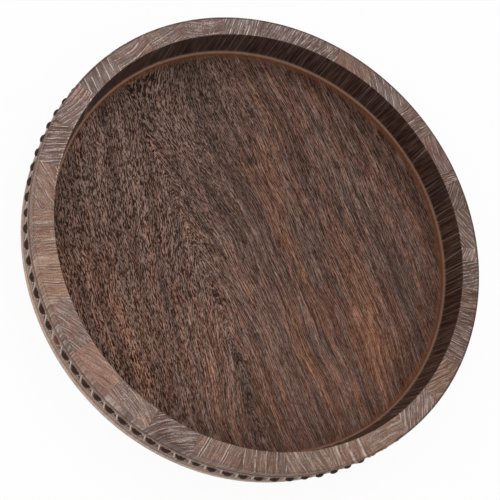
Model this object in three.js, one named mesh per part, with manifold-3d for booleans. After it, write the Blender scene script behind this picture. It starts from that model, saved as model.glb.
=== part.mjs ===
// Round wooden tray with a beaded edge.
// A ring of upright blocks, their end grain showing on top, is glued round a flat floor panel.
// Strips of half-round beads lie in a groove round the outside of the ring.
// Millimetres, +Z up. The origin is on the table, under the middle of the tray.
import * as THREE from "three";
import { mergeVertices } from "three/addons/utils/BufferGeometryUtils.js";
import Module from "manifold-3d";

// Rim
const WALL_RADIUS = 249.3; // outside of the wall, round and below the beads
const WALL_TAPER = 3.3; // above the beads the wall draws in this much to the rim's top
const RIM_TOP_WIDTH = 20.2;
const WELL_LEAN = 1.2; // the well is this much narrower, on the radius, at its floor
const EDGE_BREAK = 0.8; // chamfer on the two edges of the rim's top
const FOOT_BREAK = 0.7; // chamfer round the foot of the wall
const BLOCK_COUNT = 32;
const JOINT_START_DEG = 3.5; // the first glue joint, anticlockwise from +X
const FILLER_DEG = 3.6; // narrow piece that makes up a block that was cut short
const FILLED_BLOCKS = [3, 5]; // blocks, counted from 0, that end with a filler

// Floor and how it sits in the rim
const FLOOR_THICKNESS = 14;
const WELL_DEPTH = 37;
const FLOOR_TONGUE = 9; // the floor's stepped edge reaches this far under the blocks
const TONGUE_THICKNESS = 10;
const LEDGE_WIDTH = 2.8; // small ledge round the foot of the well
const LEDGE_HEIGHT = 2.2;

// Bead strips
const STRIP_COUNT = 16;
const BEADS_PER_STRIP = 6;
const BEAD_START_DEG = 2.75; // middle of the first bead
const BEAD_BELOW_TOP = 24; // from the rim's top down to the middle of the beads
const BEAD_WIDTH = 10.6;
const BEAD_TALL = 9.8;
const BEAD_PROUD = 2.1; // how far a bead stands out of the wall
const GROOVE_HEIGHT = 17;
const GROOVE_DEPTH = 2.6;
const BACKING = 1.2; // thickness of the strip behind the beads
const RIB_WIDTH = 1.4; // slanting rib beside each bead
const RIB_SHARE = 0.86; // rib length over strip height
const RIB_SLANT_DEG = 13;
const RIB_CLEARANCE = 0.4; // from a bead's side to its rib

const GLUE_GAP = 0.3; // clearance between neighbouring pieces
const BURIED = 0.6; // how far a bead or a rib is sunk into the backing

// Fineness of round stretches
const BLOCK_STEPS = 3;
const BEAD_SIDES = 8;
const BEAD_RINGS = 3;
const FLOOR_SIDES = 96;

const TRAY_HEIGHT = FLOOR_THICKNESS + WELL_DEPTH;
const RIM_TOP_RADIUS = WALL_RADIUS - WALL_TAPER;
const WELL_TOP_RADIUS = RIM_TOP_RADIUS - RIM_TOP_WIDTH;
const WELL_RADIUS = WELL_TOP_RADIUS - WELL_LEAN;
const LEDGE_RADIUS = WELL_RADIUS - LEDGE_WIDTH;
const FLOOR_RADIUS = WELL_RADIUS + FLOOR_TONGUE;
const BEAD_Z = TRAY_HEIGHT - BEAD_BELOW_TOP;
const GROOVE_RADIUS = WALL_RADIUS - GROOVE_DEPTH;
const GROOVE_LOW = BEAD_Z - GROOVE_HEIGHT / 2;
const GROOVE_HIGH = BEAD_Z + GROOVE_HEIGHT / 2;
const STRIP_BACK = GROOVE_RADIUS + GLUE_GAP;
const STRIP_FACE = STRIP_BACK + BACKING;
const BLOCK_DEG = 360 / BLOCK_COUNT;
const STRIP_DEG = 360 / STRIP_COUNT;
const BEAD_PITCH_DEG = STRIP_DEG / BEADS_PER_STRIP;
const STRIP_HEIGHT = GROOVE_HEIGHT - 2 * GLUE_GAP;
const RIB_LENGTH = STRIP_HEIGHT * RIB_SHARE;
const RIB_SLANT = THREE.MathUtils.degToRad(RIB_SLANT_DEG);
const GAP_DEG = THREE.MathUtils.radToDeg(GLUE_GAP / RIM_TOP_RADIUS);

// A strip is cut halfway across the open pocket between a bead and the next bead's rib.
const BEAD_PITCH = WALL_RADIUS * THREE.MathUtils.degToRad(BEAD_PITCH_DEG);
const RIB_MIDDLE = BEAD_WIDTH / 2 + RIB_CLEARANCE + RIB_WIDTH / 2;
const RIB_REACH = RIB_MIDDLE + RIB_WIDTH / 2 + (RIB_LENGTH / 2) * Math.sin(RIB_SLANT);
const STRIP_CUT = (BEAD_WIDTH / 2 + BEAD_PITCH - RIB_REACH) / 2; // from the bead before the cut
const STRIP_CUT_DEG = THREE.MathUtils.radToDeg(STRIP_CUT / WALL_RADIUS);

const wasm = await Module();
wasm.setup();

// Level arc round the Z axis, from azimuth 0 to the given angle.
class RingArc extends THREE.Curve {
  constructor(radius, degrees) {
    super();
    this.radius = radius;
    this.angle = THREE.MathUtils.degToRad(degrees);
  }
  getPoint(t, target = new THREE.Vector3()) {
    const a = this.angle * t;
    return target.set(this.radius * Math.cos(a), this.radius * Math.sin(a), 0);
  }
  getTangent(t, target = new THREE.Vector3()) {
    const a = this.angle * t;
    return target.set(-Math.sin(a), Math.cos(a), 0);
  }
}

// Sweeps a section of [radius, height] points round the Z axis, from azimuth 0, with flat ends.
function sweptPiece(section, degrees, steps) {
  const arc = new RingArc(RIM_TOP_RADIUS, degrees);
  const outline = new THREE.Shape(
    section.map(([radius, height]) => new THREE.Vector2(-height, RIM_TOP_RADIUS - radius)),
  );
  return new THREE.ExtrudeGeometry(outline, { steps, extrudePath: arc });
}

function solidOf(geometry) {
  const bare = geometry.index ? geometry.toNonIndexed() : geometry.clone();
  bare.deleteAttribute("normal");
  bare.deleteAttribute("uv");
  const merged = mergeVertices(bare, 1e-3);
  return new wasm.Manifold(
    new wasm.Mesh({
      numProp: 3,
      vertProperties: merged.attributes.position.array,
      triVerts: new Uint32Array(merged.index.array),
    }),
  );
}

function geometryOf(solid) {
  const mesh = solid.getMesh();
  const geometry = new THREE.BufferGeometry();
  geometry.setAttribute("position", new THREE.BufferAttribute(mesh.vertProperties, 3));
  geometry.setIndex(new THREE.BufferAttribute(mesh.triVerts, 1));
  geometry.computeVertexNormals();
  return geometry;
}

const greyBrown = new THREE.MeshStandardMaterial({ color: 0x8f7a6c, roughness: 0.7, metalness: 0 });
const pinkBrown = new THREE.MeshStandardMaterial({ color: 0x9a7a68, roughness: 0.7, metalness: 0 });
const redBrown = new THREE.MeshStandardMaterial({ color: 0x6d4838, roughness: 0.7, metalness: 0 });
const floorBrown = new THREE.MeshStandardMaterial({ color: 0x5a4338, roughness: 0.6, metalness: 0 });
const beadBlack = new THREE.MeshStandardMaterial({ color: 0x2a2120, roughness: 0.5, metalness: 0 });

// Section of a rim block: [radius, height] points, from the rebate round the outside to the well.
const blockSection = [
  [FLOOR_RADIUS + GLUE_GAP, 0],
  [WALL_RADIUS - FOOT_BREAK, 0],
  [WALL_RADIUS, FOOT_BREAK],
  [WALL_RADIUS, GROOVE_LOW],
  [GROOVE_RADIUS, GROOVE_LOW],
  [GROOVE_RADIUS, GROOVE_HIGH],
  [WALL_RADIUS, GROOVE_HIGH],
  [RIM_TOP_RADIUS, TRAY_HEIGHT - EDGE_BREAK],
  [RIM_TOP_RADIUS - EDGE_BREAK, TRAY_HEIGHT],
  [WELL_TOP_RADIUS + EDGE_BREAK, TRAY_HEIGHT],
  [WELL_TOP_RADIUS, TRAY_HEIGHT - EDGE_BREAK],
  [WELL_RADIUS, FLOOR_THICKNESS + LEDGE_HEIGHT],
  [LEDGE_RADIUS, FLOOR_THICKNESS],
  [LEDGE_RADIUS, TONGUE_THICKNESS + GLUE_GAP],
  [FLOOR_RADIUS + GLUE_GAP, TONGUE_THICKNESS + GLUE_GAP],
];

function rimPiece(name, startDeg, degrees, material) {
  const geometry = sweptPiece(blockSection, degrees - GAP_DEG, BLOCK_STEPS);
  const mesh = new THREE.Mesh(geometry, material);
  mesh.name = name;
  mesh.rotation.z = THREE.MathUtils.degToRad(startDeg + GAP_DEG / 2);
  return mesh;
}

function rim() {
  const group = new THREE.Group();
  for (let k = 0; k < BLOCK_COUNT; k++) {
    const startDeg = JOINT_START_DEG + k * BLOCK_DEG;
    const number = String(k + 1).padStart(2, "0");
    const filled = FILLED_BLOCKS.includes(k);
    const blockDeg = filled ? BLOCK_DEG - FILLER_DEG : BLOCK_DEG;
    const material = k % 2 ? greyBrown : pinkBrown;
    group.add(rimPiece("rim_block_" + number, startDeg, blockDeg, material));
    if (filled) {
      group.add(rimPiece("rim_filler_" + number, startDeg + blockDeg, FILLER_DEG, redBrown));
    }
  }
  return group;
}

function floorPanel() {
  const profile = [
    new THREE.Vector2(0, 0),
    new THREE.Vector2(FLOOR_RADIUS, 0),
    new THREE.Vector2(FLOOR_RADIUS, TONGUE_THICKNESS),
    new THREE.Vector2(LEDGE_RADIUS - GLUE_GAP, TONGUE_THICKNESS),
    new THREE.Vector2(LEDGE_RADIUS - GLUE_GAP, FLOOR_THICKNESS),
    new THREE.Vector2(0, FLOOR_THICKNESS),
  ];
  const mesh = new THREE.Mesh(new THREE.LatheGeometry(profile, FLOOR_SIDES), floorBrown);
  mesh.name = "floor_panel";
  mesh.rotation.x = Math.PI / 2; // the lathe turns about Y, which becomes Z
  return mesh;
}

// One bead: half an egg, its flat back sunk into the strip, with its crown out along +X.
function beadSolid() {
  const rise = WALL_RADIUS + BEAD_PROUD - STRIP_FACE;
  const profile = [new THREE.Vector2(0, -BURIED), new THREE.Vector2(BEAD_WIDTH / 2, -BURIED)];
  for (let ring = 0; ring <= BEAD_RINGS; ring++) {
    const a = (ring / BEAD_RINGS) * (Math.PI / 2);
    const radius = ring === BEAD_RINGS ? 0 : (BEAD_WIDTH / 2) * Math.cos(a);
    profile.push(new THREE.Vector2(radius, rise * Math.sin(a)));
  }
  const bead = new THREE.LatheGeometry(profile, BEAD_SIDES);
  bead.rotateZ(-Math.PI / 2);
  bead.scale(1, BEAD_TALL / BEAD_WIDTH, 1);
  bead.rotateX(Math.PI / 2);
  bead.translate(STRIP_FACE, 0, BEAD_Z);
  return solidOf(bead);
}

// The slanting rib on the clockwise side of a bead at azimuth 0.
function ribSolid() {
  const depth = WALL_RADIUS - STRIP_FACE + BURIED;
  const rib = new THREE.BoxGeometry(depth, RIB_WIDTH, RIB_LENGTH);
  rib.rotateX(RIB_SLANT);
  rib.translate(WALL_RADIUS - depth / 2, -RIB_MIDDLE, BEAD_Z);
  return solidOf(rib);
}

function beadStripGeometry() {
  const section = [
    [STRIP_BACK, GROOVE_LOW + GLUE_GAP],
    [STRIP_FACE, GROOVE_LOW + GLUE_GAP],
    [STRIP_FACE, GROOVE_HIGH - GLUE_GAP],
    [STRIP_BACK, GROOVE_HIGH - GLUE_GAP],
  ];
  let strip = solidOf(sweptPiece(section, STRIP_DEG - GAP_DEG, BEADS_PER_STRIP));
  const bead = beadSolid();
  const rib = ribSolid();
  for (let k = 0; k < BEADS_PER_STRIP; k++) {
    const turn = (k + 1) * BEAD_PITCH_DEG - STRIP_CUT_DEG - GAP_DEG / 2;
    strip = strip.add(bead.rotate([0, 0, turn])).add(rib.rotate([0, 0, turn]));
  }
  return geometryOf(strip);
}

function beading() {
  const group = new THREE.Group();
  const geometry = beadStripGeometry();
  for (let k = 0; k < STRIP_COUNT; k++) {
    const mesh = new THREE.Mesh(geometry, beadBlack);
    mesh.name = "bead_strip_" + String(k + 1).padStart(2, "0");
    const startDeg = BEAD_START_DEG - BEAD_PITCH_DEG + STRIP_CUT_DEG + k * STRIP_DEG;
    mesh.rotation.z = THREE.MathUtils.degToRad(startDeg + GAP_DEG / 2);
    group.add(mesh);
  }
  return group;
}

const tray = new THREE.Group();
tray.add(rim(), floorPanel(), beading());

export default tray;
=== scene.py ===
"""Round wooden tray with a beaded edge: the finished look of every piece, and a plain white studio.

Run it as a script inside Blender. Each piece, or group of like pieces, is one operator, and the
sidebar panel lists them. Lengths are in metres, and the tray stands on the floor at Z = 0.
"""

import math
import random
from collections import namedtuple

import bmesh
import bpy
from bpy.props import FloatProperty, FloatVectorProperty, PointerProperty
from mathutils import Matrix, Quaternion, Vector


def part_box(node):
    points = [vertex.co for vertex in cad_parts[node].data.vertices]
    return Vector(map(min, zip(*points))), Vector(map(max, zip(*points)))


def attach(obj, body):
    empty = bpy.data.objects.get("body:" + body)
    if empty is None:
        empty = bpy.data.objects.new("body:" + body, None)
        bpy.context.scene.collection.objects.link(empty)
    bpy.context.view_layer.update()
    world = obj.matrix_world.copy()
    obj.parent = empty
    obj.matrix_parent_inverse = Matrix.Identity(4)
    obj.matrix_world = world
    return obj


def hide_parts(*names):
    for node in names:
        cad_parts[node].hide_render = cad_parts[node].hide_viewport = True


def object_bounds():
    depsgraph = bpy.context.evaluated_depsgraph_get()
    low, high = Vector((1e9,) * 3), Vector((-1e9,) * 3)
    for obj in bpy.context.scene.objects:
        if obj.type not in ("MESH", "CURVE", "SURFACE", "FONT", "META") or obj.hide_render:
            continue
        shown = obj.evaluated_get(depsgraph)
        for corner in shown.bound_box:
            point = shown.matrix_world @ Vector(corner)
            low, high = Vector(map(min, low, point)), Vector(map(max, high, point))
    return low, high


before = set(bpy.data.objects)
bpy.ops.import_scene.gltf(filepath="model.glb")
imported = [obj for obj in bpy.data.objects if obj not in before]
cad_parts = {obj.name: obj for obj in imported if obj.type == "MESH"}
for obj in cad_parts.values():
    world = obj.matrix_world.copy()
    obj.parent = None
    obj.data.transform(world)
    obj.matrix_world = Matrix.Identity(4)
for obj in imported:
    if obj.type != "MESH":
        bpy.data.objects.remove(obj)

bl_info = {
    "name": "Beaded wooden tray",
    "version": (1, 0, 0),
    "blender": (4, 5, 0),
    "location": "3D View > Sidebar > Tray",
    "description": "Builds a round end-grain tray with a beaded edge",
    "category": "Object",
}

CAD_LOW, CAD_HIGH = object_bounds()
FLOOR_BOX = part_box("floor_panel")
BODY = "root"
MM = 0.001

STRIP_COUNT = 16
BEADS_PER_STRIP = 6
BEAD_PITCH = 2 * math.pi / (STRIP_COUNT * BEADS_PER_STRIP)
RED_BEAD = 68  # counted from 0: the bead left reddish and worn flat

# Worn or half buried beads, counted from 0, and the share of their size that is left
WORN_BEADS = {
    49: 0.5, 50: 0.5, 51: 0.75, 52: 0.9, 60: 0.85, 68: 0.75, 79: 0.75, 86: 0.9,
    89: 0.85, 90: 0.85, 91: 0.6, 92: 0.75,
}

# How much the other beads differ: share of the width, share of the height, and tilt in radians
BEAD_SEED = 7
BEAD_SWELL = (0.94, 1.04)
BEAD_STRETCH = (0.93, 1.02)
BEAD_TILT = (-0.09, 0.09)

# Smoothness of the curves
RIM_STEP = 0.95  # degrees
STRIP_STEP = 1.25  # degrees
BOARD_SIDES = 256


def display_colour(code):
    """Linear RGB of a display colour written as six hex digits."""
    shades = [int(code[i : i + 2], 16) / 255 for i in (0, 2, 4)]
    return tuple(s / 12.92 if s <= 0.04045 else ((s + 0.055) / 1.055) ** 2.4 for s in shades)


def length(name, description, default):
    """A property for a length in metres."""
    return FloatProperty(name=name, description=description, default=default, unit="LENGTH", precision=4)


def turn(name, description, degrees):
    """A property for an angle, kept in radians."""
    angle = math.radians(degrees)
    return FloatProperty(name=name, description=description, default=angle, unit="ROTATION")


def watts(name, default):
    """A property for the power of a lamp."""
    return FloatProperty(name=name, description="Power of the lamp", default=default, unit="POWER")


def paint(name, description, code):
    """A property for a colour, given as display_colour takes it."""
    return FloatVectorProperty(
        name=name, description=description, default=display_colour(code), subtype="COLOR", min=0, max=1
    )


class TraySizes(bpy.types.PropertyGroup):
    """Sizes of the tray. The height and the floor board's come from the frame"""

    height: length("Height", "From the table to the top of the rim", CAD_HIGH.z)
    wall_radius: length("Wall radius", "Outside of the wall, round and below the beads", 249.3 * MM)
    wall_taper: length("Wall taper", "How far the wall draws in above the beads", 3.3 * MM)
    rim_width: length("Rim width", "Flat top of the rim", 20.2 * MM)
    well_lean: length("Well lean", "The well is this much narrower at its floor", 1.2 * MM)
    floor_radius: length("Floor radius", "Floor board with its tongue", FLOOR_BOX[1].x)
    floor_thickness: length("Floor thickness", "Floor board", FLOOR_BOX[1].z)
    tongue: length("Tongue", "Thickness of the floor board's stepped edge", 10 * MM)
    ledge_width: length("Ledge width", "Small ledge round the foot of the well", 2.8 * MM)
    ledge_height: length("Ledge height", "Small ledge round the foot of the well", 2.2 * MM)
    edge_round: length("Edge rounding", "Worn outer edge of the rim's top", 2.0 * MM)
    well_round: length("Well edge rounding", "Worn inner edge of the rim's top", 0.8 * MM)
    foot_round: length("Foot rounding", "Edge round the foot of the wall", 0.7 * MM)
    joint_start: turn("First joint", "Azimuth of the first glue joint", 3.5)
    filler: turn("Make-up piece", "Angle that a make-up piece fills", 3.6)
    joint_gap: length("Joint gap", "Glue line between two pieces", 0.06 * MM)
    joint_break: length("Joint bevel", "Softened edge of each joint", 0.16 * MM)
    groove_height: length("Groove height", "Groove for the bead strips", 17 * MM)
    groove_depth: length("Groove depth", "Groove for the bead strips", 2.6 * MM)
    bead_below_top: length("Bead drop", "From the rim's top to the middle of the beads", 24 * MM)
    bead_start: turn("First bead", "Azimuth of the middle of the first bead", 2.75)
    bead_width: length("Bead width", "Along the rim", 10.6 * MM)
    bead_tall: length("Bead height", "Up the wall", 9.8 * MM)
    bead_proud: length("Bead stand-out", "How far a bead stands out of the wall", 2.1 * MM)
    backing: length("Backing", "Thickness of the strip behind the beads", 1.2 * MM)
    rib_width: length("Rib width", "Slanting rib beside each bead", 1.4 * MM)
    rib_slant: turn("Rib slant", "From upright", 13)
    collar: length("Collar", "Half the thickness of the pale ring round each bead", 0.45 * MM)


class TrayColours(bpy.types.PropertyGroup):
    """Colours of the woods and of the rubbed-in lime"""

    grey: paint("Grey end grain", "Blocks with much lime", "826A63")
    mauve: paint("Mauve end grain", "Cool brown blocks", "7D615A")
    pink: paint("Pink end grain", "Pinkish brown blocks", "8E6658")
    tan: paint("Tan end grain", "The palest blocks", "9C7B68")
    orange: paint("Orange end grain", "Warm blocks", "966D58")
    ochre: paint("Ochre end grain", "Yellowish blocks", "8D6A53")
    brown: paint("Brown end grain", "The darker blocks", "745447")
    red: paint("Red end grain", "Make-up piece and reddish block", "643F33")
    late: paint("Late wood", "Dark line beside each limed ring", "452E27")
    lime: paint("Lime", "White wax rubbed into rings and pores", "E2D2C7")
    wall: paint("Outer wall", "Bare wood below the beads", "926D56")
    wall_line: paint("Outer wall, dark band", "Reddish band below the beads", "6A4634")
    stain: paint("Well stain", "Dark inside of the wall", "2F1D18")
    stain_pale: paint("Well stain, pale streaks", "Upright streaks inside the wall", "5C463C")
    stain_warm: paint("Well stain, warm", "Inside of the wall at its foot and at the right", "341C10")
    ledge: paint("Ledge", "Bare wood of the small ledge", "926F5A")
    edge: paint("Worn edge", "Dark line along the outer edge", "432C21")
    floor_dark: paint("Floor, dark grain", "Dark streaks of the floor board", "35221B")
    floor_grey: paint("Floor, grey grain", "Cool brown ground of the floor board", "634D45")
    floor_red: paint("Floor, red grain", "Red-brown ground of the floor board", "704330")
    floor_warm: paint("Floor, warm grain", "Orange-brown streaks", "865638")
    floor_pale: paint("Floor, limed grain", "Pale lines in the floor board", "967D71")
    pore: paint("Pores", "Open pores of the floor board", "220E06")
    bead: paint("Bead", "Crown of a bead", "2E190D")
    bead_red: paint("Red bead", "The worn bead", "6B3C2A")
    # Pocket: bare wood, and painted shadow of the recess between two beads
    pocket_and_shadow: paint("Pocket", "Bare wood between the beads", "372013")


Block = namedtuple("Block", "lean bow gap shift lime width twin fine pores tone main second")

# Growth rings of the rim blocks, from the first joint anticlockwise.
# lean: degrees from radial, + where a ring's outer end leans anticlockwise. bow: mm to the pith.
# gap: mm between limed rings. shift: share of a gap. lime, twin, fine and pores: 0 to 1. width: mm.
# tone: brightness of the block. main and second: its two colours.
BLOCKS = (
    Block(66, 190, 7.0, 0.2, 0.35, 0.8, 0.0, 0.5, 0.2, 0.86, "orange", "ochre"),
    Block(2, 500, 9.0, 0.1, 0.55, 0.8, 0.5, 0.6, 0.2, 0.67, "pink", "brown"),
    Block(5, 400, 8.5, 0.4, 0.30, 0.7, 0.0, 0.8, 0.1, 0.77, "red", "orange"),
    Block(24, -160, 3.9, 0.0, 0.60, 0.8, 0.0, 0.3, 0.2, 0.60, "grey", "brown"),
    Block(-50, 300, 6.6, 0.3, 0.55, 0.9, 0.0, 0.5, 0.2, 0.66, "ochre", "mauve"),
    Block(48, 300, 7.2, 0.1, 0.42, 0.8, 0.0, 0.6, 0.2, 0.58, "brown", "ochre"),
    Block(80, -90, 7.5, 0.3, 0.45, 0.8, 0.0, 0.3, 0.2, 0.82, "pink", "mauve"),
    Block(-3, 600, 12.6, 0.1, 0.85, 0.9, 0.0, 0.4, 0.1, 0.80, "brown", "pink"),
    Block(45, 260, 8.8, 0.3, 0.75, 1.0, 0.0, 0.3, 0.2, 0.84, "mauve", "grey"),
    Block(40, 300, 13.0, 0.5, 0.20, 0.7, 0.0, 0.4, 0.1, 0.86, "pink", "orange"),
    Block(-24, 500, 7.8, 0.2, 0.80, 0.9, 0.0, 0.7, 0.2, 0.83, "mauve", "brown"),
    Block(-26, 500, 9.2, 0.0, 0.75, 0.9, 0.3, 0.7, 0.3, 0.87, "grey", "mauve"),
    Block(-25, 500, 9.0, 0.4, 0.95, 1.0, 0.3, 0.7, 0.5, 0.85, "mauve", "grey"),
    Block(84, -75, 13.0, 0.4, 0.55, 1.0, 0.0, 0.5, 1.0, 1.04, "grey", "mauve"),
    Block(-76, 160, 11.0, 0.1, 0.50, 0.9, 0.5, 0.3, 0.8, 0.91, "grey", "ochre"),
    Block(-80, 120, 9.0, 0.2, 0.85, 1.1, 0.0, 0.4, 0.3, 0.90, "pink", "grey"),
    Block(-25, 600, 8.0, 0.1, 1.00, 1.0, 0.0, 0.3, 0.2, 0.89, "mauve", "grey"),
    Block(76, -120, 4.6, 0.2, 0.60, 0.9, 0.0, 0.5, 0.6, 1.00, "grey", "pink"),
    Block(25, 500, 6.2, 0.0, 0.90, 0.9, 0.0, 0.7, 0.1, 0.98, "brown", "mauve"),
    Block(-52, 600, 11.8, 0.2, 0.70, 0.9, 0.6, 0.2, 0.3, 0.97, "tan", "orange"),
    Block(3, 400, 17.0, 0.5, 0.35, 1.4, 0.5, 0.5, 0.4, 1.04, "tan", "orange"),
    Block(-12, 600, 15.3, 0.2, 0.70, 0.8, 0.8, 0.3, 0.2, 1.36, "tan", "ochre"),
    Block(-60, 260, 6.2, 0.1, 0.50, 0.9, 0.3, 0.5, 0.6, 1.03, "pink", "grey"),
    Block(-76, 110, 9.0, 0.4, 0.15, 0.8, 0.0, 0.2, 0.2, 1.38, "tan", "pink"),
    Block(75, -110, 6.4, 0.1, 0.40, 1.0, 0.0, 0.4, 0.6, 1.08, "grey", "tan"),
    Block(-54, 90, 6.4, 0.3, 0.50, 1.2, 0.0, 0.7, 0.3, 0.86, "brown", "grey"),
    Block(-17, 500, 21.0, 0.3, 0.75, 0.9, 0.9, 0.3, 0.3, 0.86, "pink", "orange"),
    Block(-3, 600, 10.8, 0.2, 0.70, 1.0, 0.0, 0.4, 0.2, 0.85, "orange", "brown"),
    Block(27, 200, 9.0, 0.2, 0.35, 2.0, 0.0, 0.4, 0.2, 0.91, "tan", "brown"),
    Block(4, 500, 13.0, 0.1, 0.60, 3.4, 0.0, 0.4, 0.1, 0.99, "pink", "tan"),
    Block(88, -150, 8.6, 0.3, 0.35, 2.4, 0.0, 0.3, 0.4, 0.96, "ochre", "tan"),
    Block(-42, 400, 5.2, 0.1, 0.55, 1.0, 0.0, 0.6, 0.2, 1.02, "mauve", "tan"),
)

# Narrow make-up pieces. The number, from 0, is that of the block that the piece ends.
FILLERS = {
    3: Block(66, 120, 5.0, 0.2, 0.80, 0.9, 0.0, 0.4, 0.2, 1.00, "mauve", "brown"),
    5: Block(3, 300, 4.0, 0.5, 0.10, 0.6, 0.0, 0.8, 0.1, 1.00, "red", "red"),
}

Patch = namedtuple("Patch", "x y long wide amount")

# Soft patches of the floor board, in mm. The amount is + for orange-brown and - for dark grey-brown.
FLOOR_PATCHES = (
    Patch(-125, 110, 90, 30, 0.65),
    Patch(-41, 59, 26, 9, 1.00),
    Patch(-30, 40, 70, 14, 0.40),
    Patch(78, 68, 95, 20, 0.75),
    Patch(150, 20, 60, 26, 0.60),
    Patch(60, 10, 60, 18, 0.25),
    Patch(188, 40, 22, 16, 0.90),
    Patch(55, 140, 42, 6, 0.90),
    Patch(92, -31, 62, 5, 1.20),
    Patch(-142, -20, 28, 5, 0.80),
    Patch(45, -112, 80, 26, 0.45),
    Patch(-20, -178, 80, 17, 0.80),
    Patch(40, -150, 60, 12, 0.40),
    Patch(110, 108, 90, 22, -0.60),
    Patch(-30, 150, 60, 14, -0.50),
    Patch(-192, 62, 26, 16, -1.40),
    Patch(-110, 12, 95, 15, -0.75),
    Patch(-13, -8, 55, 20, -0.50),
    Patch(106, -120, 75, 6, -1.20),
    Patch(120, -70, 80, 9, -0.50),
    Patch(-150, -90, 70, 45, -0.40),
    Patch(-80, -60, 80, 14, -0.35),
)

# Painted light and shade on the floor board: lighter and darker places, as a share of its brightness
PAINTED_FLOOR_LIGHT = (
    Patch(-80, 160, 50, 30, 0.26),
    Patch(30, 165, 50, 25, 0.14),
    Patch(90, -145, 60, 24, 0.26),
    Patch(172, -40, 40, 40, 0.22),
    Patch(-180, -60, 30, 30, 0.22),
    Patch(-55, 35, 45, 30, -0.14),
    Patch(100, 62, 45, 22, -0.18),
    Patch(-115, 50, 45, 34, -0.13),
    Patch(-70, -120, 60, 32, -0.14),
)


def sizes():
    return bpy.context.scene.tray_sizes


def colours():
    return bpy.context.scene.tray_colours


def rim_radii():
    """Radii of the wall's top edge, of the well at its top and foot, and of the ledge's inner edge."""
    size = sizes()
    wall_top = size.wall_radius - size.wall_taper
    well_top = wall_top - size.rim_width
    well_foot = well_top - size.well_lean
    return wall_top, well_top, well_foot, well_foot - size.ledge_width


def ledge_top_height():
    size = sizes()
    return size.floor_thickness + size.ledge_height


def bead_row_height():
    """Height of the middles of the beads."""
    size = sizes()
    return size.height - size.bead_below_top


def opaque(colour):
    return (*colour, 1.0)


# Selection and small modelling steps


def clear_selection():
    if bpy.context.mode != "OBJECT":
        bpy.ops.object.mode_set(mode="OBJECT")
    bpy.ops.object.select_all(action="DESELECT")


def make_active(piece):
    clear_selection()
    piece.select_set(True)
    bpy.context.view_layer.objects.active = piece


def edit(piece):
    make_active(piece)
    bpy.ops.object.mode_set(mode="EDIT")


def done():
    bpy.ops.object.mode_set(mode="OBJECT")


def choose(kind, test):
    """Selects only the vertices, edges or faces of the piece in edit mode that pass the test."""
    mesh = bmesh.from_edit_mesh(bpy.context.edit_object.data)
    bpy.context.tool_settings.mesh_select_mode = (kind == "verts", kind == "edges", kind == "faces")
    for group in (mesh.verts, mesh.edges, mesh.faces):
        for item in group:
            item.select = False
    for item in getattr(mesh, kind):
        if test(item):
            item.select_set(True)
    mesh.select_flush_mode()
    bmesh.update_edit_mesh(bpy.context.edit_object.data)


def cut(point, normal):
    """Cuts the whole mesh along a plane through a point, and keeps both sides."""
    bpy.ops.mesh.select_all(action="SELECT")
    bpy.ops.mesh.bisect(plane_co=point, plane_no=normal)


def drop_cells(test):
    """Deletes the flat cells whose middle, as (radius, height), passes the test."""

    def hit(face):
        middle = face.calc_center_median()
        return test(middle.x, middle.z)

    choose("faces", hit)
    bpy.ops.mesh.delete(type="FACE")


def near(value, target, reach):
    return abs(value - target) < reach


def flat_section(low, high):
    """A flat rectangle standing in the plane Y = 0, from (radius, height) low to high."""
    clear_selection()
    middle = ((low[0] + high[0]) / 2, 0, (low[1] + high[1]) / 2)
    bpy.ops.mesh.primitive_plane_add(size=1, location=middle, rotation=(math.pi / 2, 0, 0))
    piece = bpy.context.active_object
    piece.scale = (high[0] - low[0], high[1] - low[1], 1)
    bpy.ops.object.transform_apply(location=True, rotation=True, scale=True)
    return piece


def round_corner(point, size):
    """Rounds one corner of the flat section in edit mode, given as (radius, height)."""
    same_place = 0.02 * MM
    choose("verts", lambda v: near(v.co.x, point[0], same_place) and near(v.co.z, point[1], same_place))
    bpy.ops.mesh.bevel(offset=size, offset_type="OFFSET", segments=3, profile=0.5, affect="VERTICES")


def sweep(degrees_per_step, angle):
    """Turns the flat section in edit mode about Z into a closed solid."""
    steps = max(2, round(math.degrees(angle) / degrees_per_step))
    bpy.ops.mesh.select_all(action="SELECT")
    bpy.ops.mesh.spin(steps=steps, angle=-angle, center=(0, 0, 0), axis=(0, 0, 1))
    bpy.ops.mesh.select_all(action="SELECT")
    bpy.ops.mesh.remove_doubles(threshold=0.001 * MM)
    bpy.ops.mesh.normals_make_consistent(inside=False)


def smooth(piece, degrees=28):
    make_active(piece)
    bpy.ops.object.shade_smooth_by_angle(angle=math.radians(degrees))


def placed_copy(piece, name, placing):
    """A copy with its own mesh, moved by a matrix."""
    copy = piece.copy()
    copy.data = piece.data.copy()
    copy.data.transform(placing)
    copy.name = name
    copy.data.name = name
    bpy.context.collection.objects.link(copy)
    return copy


def turned_copy(piece, name, angle):
    """A copy turned about the tray's axis."""
    return placed_copy(piece, name, Matrix.Rotation(angle, 4, "Z"))


def remove(piece):
    """Deletes a model that was only there to be copied."""
    bpy.data.objects.remove(piece, do_unlink=True)


def seat(piece, material, slot, *nodes):
    """Gives a finished piece its material and its place in the frame."""
    piece.data.materials.clear()
    piece.data.materials.append(material)
    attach(piece, BODY)
    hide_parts(*nodes)


# Node trees


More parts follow.
